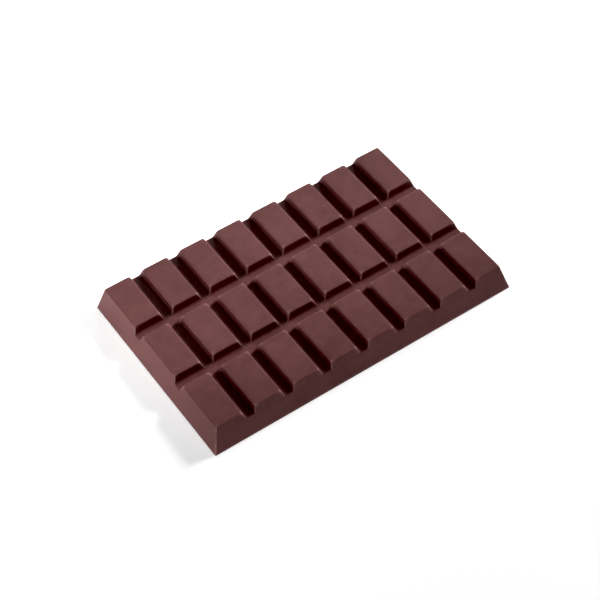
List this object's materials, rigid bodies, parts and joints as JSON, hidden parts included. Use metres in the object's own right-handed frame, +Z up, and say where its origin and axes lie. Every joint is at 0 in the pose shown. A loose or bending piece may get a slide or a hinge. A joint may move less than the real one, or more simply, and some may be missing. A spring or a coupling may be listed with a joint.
{
  "type": "chocolate bar",
  "caption": "Oblong bar of moulded dark chocolate with sloping sides, scored both ways by straight break grooves into oblong pieces, flat underneath.",
  "frame": {"origin": "middle of the flat underside", "axes": "+X along the bar's long side, +Y along its short side, +Z up through the thickness, out of the grooved face"},
  "size_m": [0.118, 0.0748, 0.0099],
  "materials": {
    "dark_chocolate": "satin dark chocolate, as it comes out of a polished mould"
  },
  "bodies": {
    "root": {"chocolate_bar": "dark_chocolate"}
  },
  "joints": []
}
